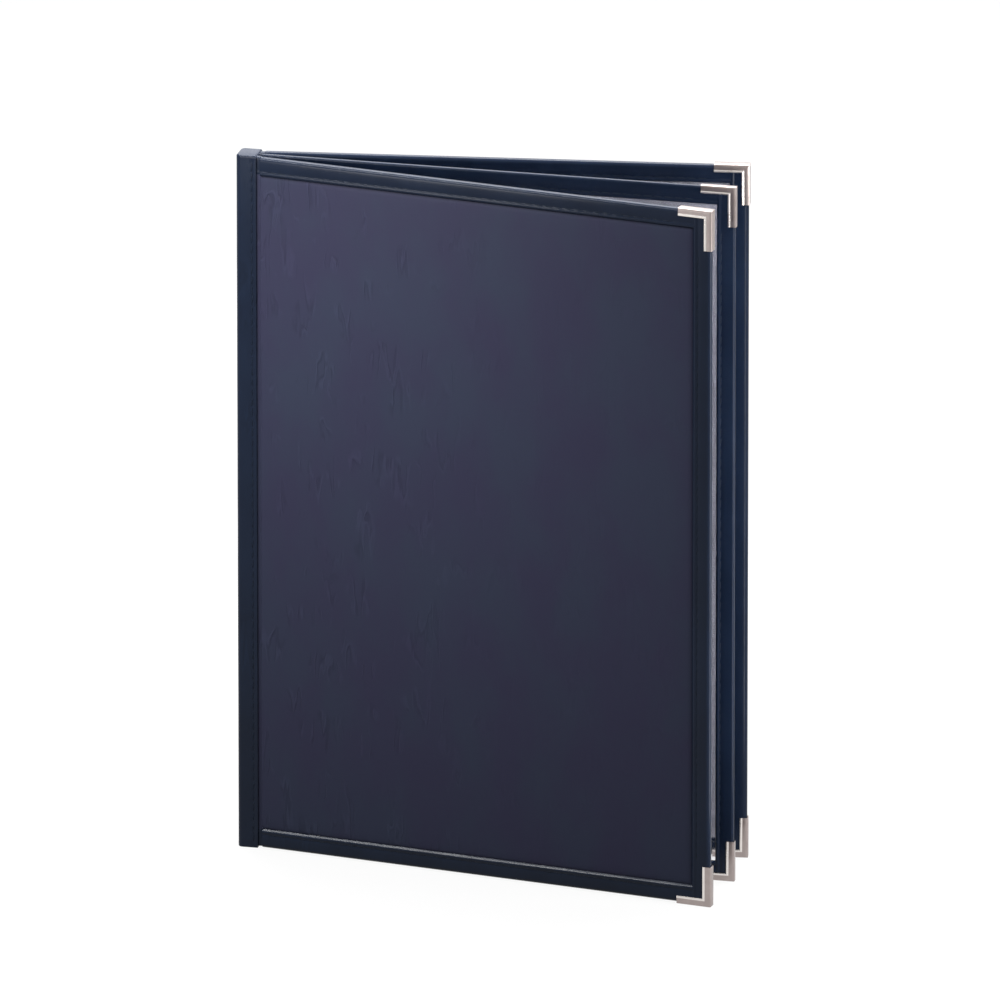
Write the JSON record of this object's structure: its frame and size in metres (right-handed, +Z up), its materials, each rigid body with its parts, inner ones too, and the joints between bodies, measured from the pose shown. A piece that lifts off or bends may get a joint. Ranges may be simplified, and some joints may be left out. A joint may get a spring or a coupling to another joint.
{
  "type": "menu cover",
  "caption": "Upright sewn-edge menu booklet: two stiff leatherette covers and a clear page on one spine, with bound edges and metal corners; holds A4 sheets.",
  "frame": {"origin": "centre of the spine's foot, on the surface that the cover stands on", "axes": "+Z up the spine, +X from the spine to the fore edges, -Y towards the front cover"},
  "size_m": [0.2269, 0.0755, 0.324],
  "materials": {
    "cover_skin": "fine-grained navy leatherette, satin",
    "edge_tape": "smooth navy leatherette tape, glossy on its crown",
    "thread": "navy polyester thread",
    "corner_metal": "satin nickel plate with bevelled edges",
    "clear_vinyl": "clear flexible vinyl, glossy",
    "board": "grey lined board",
    "packing": "plain grey board strip"
  },
  "bodies": {
    "spine": {"spine_binding": "edge_tape", "spine_filler": "packing", "spine_stitching": "thread"},
    "page": {"page_front_vinyl": "clear_vinyl", "page_back_vinyl": "clear_vinyl", "page_hinge_strip": "edge_tape", "page_top_binding": "edge_tape", "page_side_binding": "edge_tape", "page_bottom_binding": "edge_tape", "page_stitching": "thread", "page_top_corner": "corner_metal", "page_bottom_corner": "corner_metal"},
    "front_cover": {"front_leatherette": "cover_skin", "front_board": "board", "front_pocket_vinyl": "clear_vinyl", "front_hinge_strip": "cover_skin", "front_top_binding": "edge_tape", "front_side_binding": "edge_tape", "front_bottom_binding": "edge_tape", "front_stitching": "thread", "front_top_corner": "corner_metal", "front_bottom_corner": "corner_metal"},
    "back_cover": {"back_leatherette": "cover_skin", "back_board": "board", "back_pocket_vinyl": "clear_vinyl", "back_hinge_strip": "cover_skin", "back_top_binding": "edge_tape", "back_side_binding": "edge_tape", "back_bottom_binding": "edge_tape", "back_stitching": "thread", "back_top_corner": "corner_metal", "back_bottom_corner": "corner_metal"}
  },
  "joints": [
    {"name": "page_hinge", "type": "hinge", "parent": "spine", "child": "page", "pos_m": [0.0052, 0, 0], "axis": [0, 0, 1], "range_deg": [-15, 15], "deforming": ["front_hinge_strip", "page_hinge_strip", "back_hinge_strip"]},
    {"name": "front_cover_hinge", "type": "hinge", "parent": "page", "child": "front_cover", "pos_m": [0.0052, -0.0064, 0], "axis": [0, 0, -1], "range_deg": [-8.5, 156.5], "deforming": ["front_hinge_strip"]},
    {"name": "back_cover_hinge", "type": "hinge", "parent": "page", "child": "back_cover", "pos_m": [0.0052, 0.0064, 0], "axis": [0, 0, 1], "range_deg": [-8, 157], "deforming": ["back_hinge_strip"]}
  ]
}
